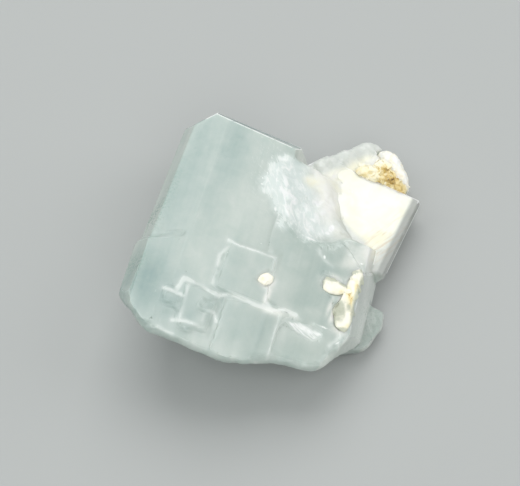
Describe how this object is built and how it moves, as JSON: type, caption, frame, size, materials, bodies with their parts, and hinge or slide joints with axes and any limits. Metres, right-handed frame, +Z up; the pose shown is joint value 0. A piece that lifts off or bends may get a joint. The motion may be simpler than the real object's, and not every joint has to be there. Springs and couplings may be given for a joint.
{
  "type": "aquamarine crystal specimen",
  "caption": "Broad milky blue-green hexagonal beryl prism with a leaning cloudy side crystal, growth plates on its wide face, a scalloped broken end and small mica and feldspar grains.",
  "frame": {"origin": "centre of the overall box at the height of the rest face", "axes": "+Z up with the specimen lying on its flattened back, +Y along the main crystal's prism axis towards its finished flat end, +X towards the leaning cloudy crystal"},
  "size_m": [0.0438, 0.0548, 0.0176],
  "materials": {
    "milky_beryl": "milky translucent crystal, smooth prism faces, frosted breaks and ledges",
    "golden_mica": "pearly golden mica flakes",
    "white_feldspar": "matt creamy white feldspar",
    "cream_mica": "pearly cream and pale gold mica"
  },
  "bodies": {
    "root": {"aquamarine_crystals": "milky_beryl", "mica_crust": "golden_mica", "feldspar_knob": "white_feldspar", "mica_seam": "cream_mica", "mica_flake": "cream_mica", "mica_speck": "cream_mica"}
  },
  "joints": []
}
